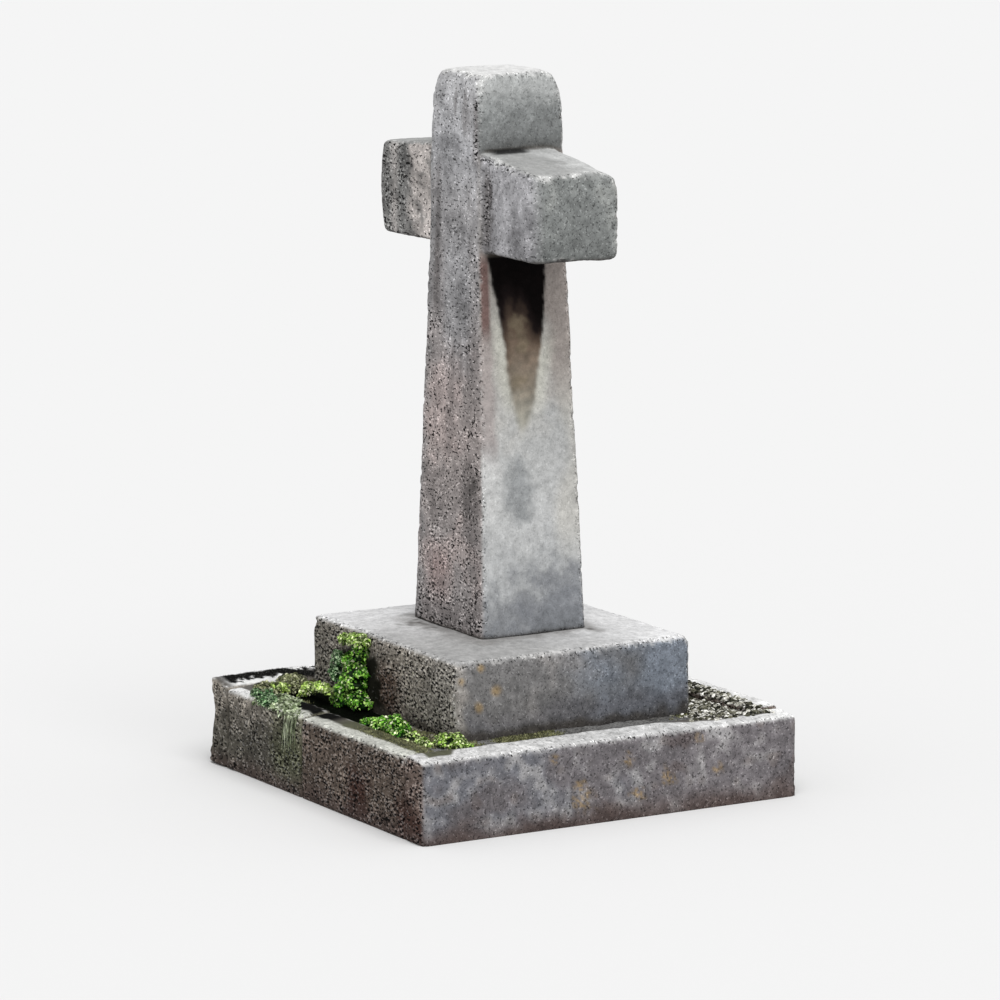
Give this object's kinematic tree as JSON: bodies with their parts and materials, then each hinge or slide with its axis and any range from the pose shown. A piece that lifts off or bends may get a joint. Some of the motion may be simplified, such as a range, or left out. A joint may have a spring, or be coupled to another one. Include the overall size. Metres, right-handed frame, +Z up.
{
  "type": "stone cross memorial",
  "caption": "Weathered granite cross with short arms and a tapering shaft, on a squared plinth set in an earth bed inside a low stone kerb.",
  "frame": {"origin": "on the ground, under the middle of the cross and of the kerb", "axes": "+Z up, +X along the arms, -Y out of the front face of the cross"},
  "size_m": [1.406, 1.362, 2.292],
  "materials": {
    "cross_granite": "coarse grey granite, weathered, with soot and rain stains",
    "plinth_granite": "coarse grey granite with spots of ochre lichen",
    "kerb_granite": "rough grey-brown granite, worn pale along the rim, with lichen and algae",
    "earth": "dark earth and gravel with moss"
  },
  "bodies": {
    "root": {"cross": "cross_granite", "plinth": "plinth_granite", "kerb_right": "kerb_granite", "kerb_left": "kerb_granite", "kerb_front_left": "kerb_granite", "kerb_front_right": "kerb_granite", "kerb_back": "kerb_granite", "earth_bed": "earth"}
  },
  "joints": []
}
